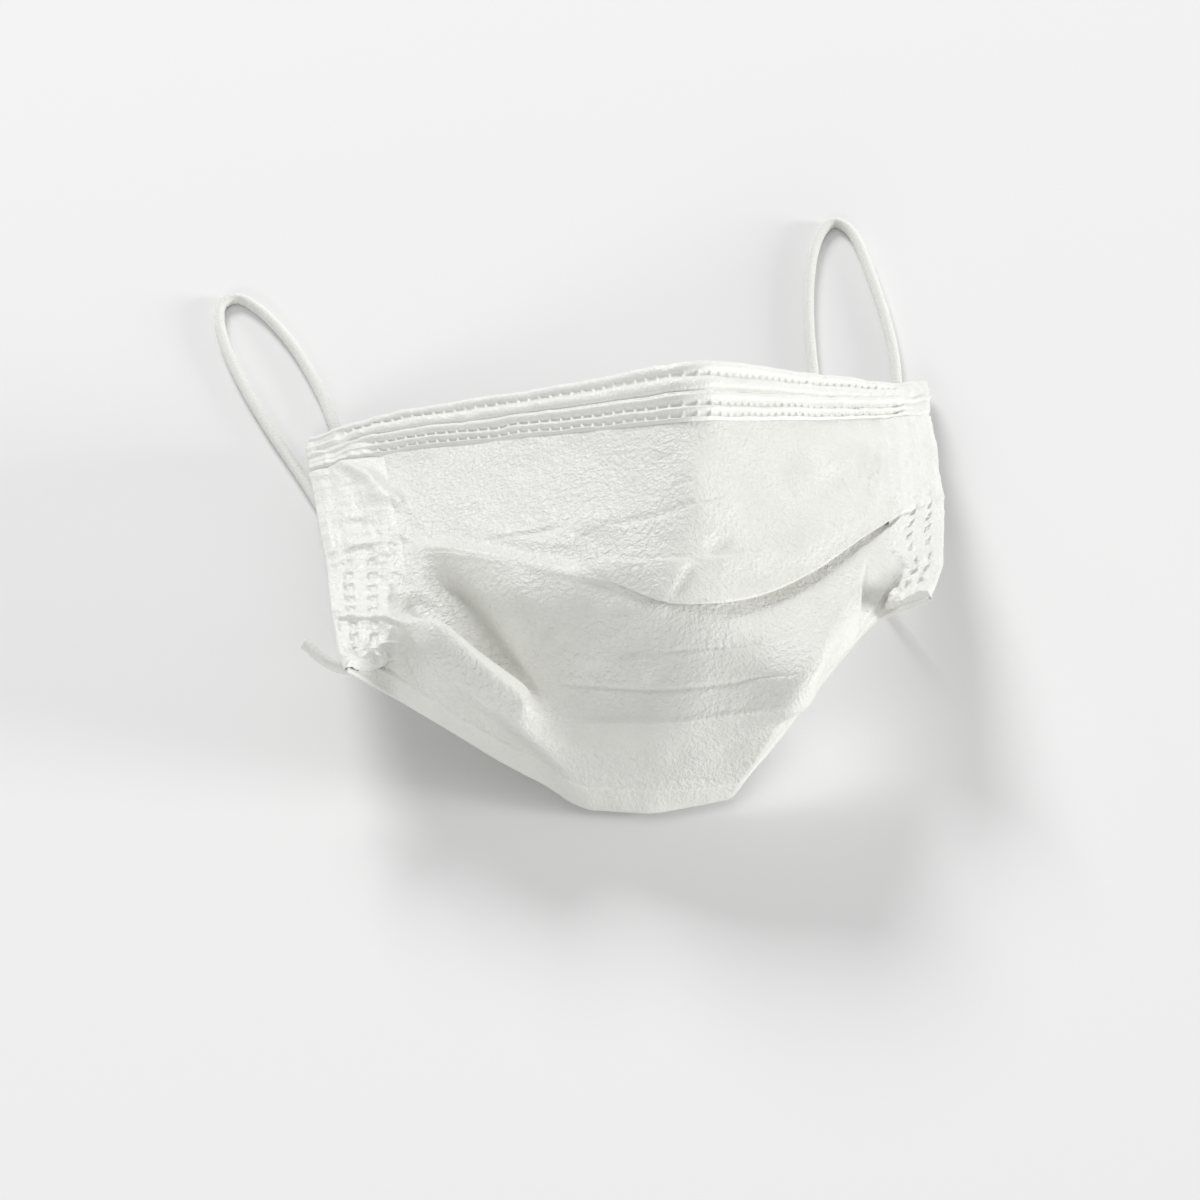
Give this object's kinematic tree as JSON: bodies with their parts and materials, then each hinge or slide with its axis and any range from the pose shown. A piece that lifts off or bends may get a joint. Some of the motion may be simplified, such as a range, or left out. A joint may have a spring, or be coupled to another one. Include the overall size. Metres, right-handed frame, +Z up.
{
  "type": "three-layer face mask",
  "caption": "Pleated three-layer non-woven face mask with a wired nose hem, welded side strips and round elastic ear loops, lying on its inside.",
  "frame": {"origin": "on the surface that the mask lies on, under the middle of its cloth", "axes": "+Z up, +Y from the chin edge towards the nose edge, +X towards the viewer's right when looking along +Y"},
  "size_m": [0.1321, 0.1606, 0.0484],
  "materials": {
    "cloth": "matt white spunbonded polypropylene",
    "wire": "plastic-coated nose wire",
    "elastic": "knitted round elastic"
  },
  "bodies": {
    "root": {"mask_panel": "cloth", "nose_hem": "cloth", "chin_hem": "cloth", "side_strip_left": "cloth", "side_strip_right": "cloth", "nose_wire": "wire", "weld_top_left": "elastic", "weld_top_right": "elastic", "weld_bottom_left": "elastic", "weld_bottom_right": "elastic", "ear_loop_left": "elastic", "ear_loop_right": "elastic", "loop_tail_left": "elastic"}
  },
  "joints": []
}
